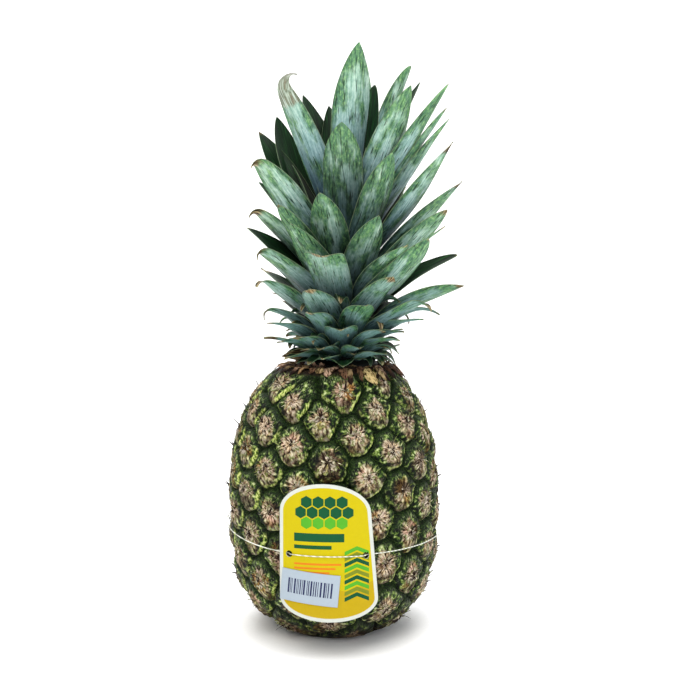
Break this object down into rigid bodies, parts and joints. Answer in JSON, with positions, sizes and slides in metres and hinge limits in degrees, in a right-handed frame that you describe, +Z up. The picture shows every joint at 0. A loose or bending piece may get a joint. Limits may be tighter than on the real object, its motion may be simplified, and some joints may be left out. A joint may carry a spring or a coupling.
{
  "type": "pineapple",
  "caption": "Ripe pineapple with its leafy crown, standing on its cut base, with a blank swing tag on an elastic thread.",
  "frame": {"origin": "middle of the flat cut base, on the surface that the fruit stands on", "axes": "+Z up along the fruit towards the crown, -Y towards the front where the tag hangs, +X to the right seen from the front"},
  "size_m": [0.1324, 0.1253, 0.3281],
  "materials": {
    "rind": "tough green rind with tan and pinkish fibrous eyes in dark green grooves, satin",
    "cut_stalk": "cut, dried and fibrous stalk end, matt",
    "leaf": "stiff leaves with a grey-blue waxy bloom over green, dark inner faces, satin",
    "dry_husk": "dry straw and brown bracts, matt",
    "tag_card": "glossy printed yellow card with a white border, blank",
    "label_paper": "white label paper with plain dark bars",
    "elastic": "thin off-white elastic thread"
  },
  "bodies": {
    "root": {"fruit": "rind", "stalk": "cut_stalk", "crown": "leaf", "collar_bracts": "dry_husk", "tag_card": "tag_card", "price_label": "label_paper", "tag_thread": "elastic"}
  },
  "joints": []
}
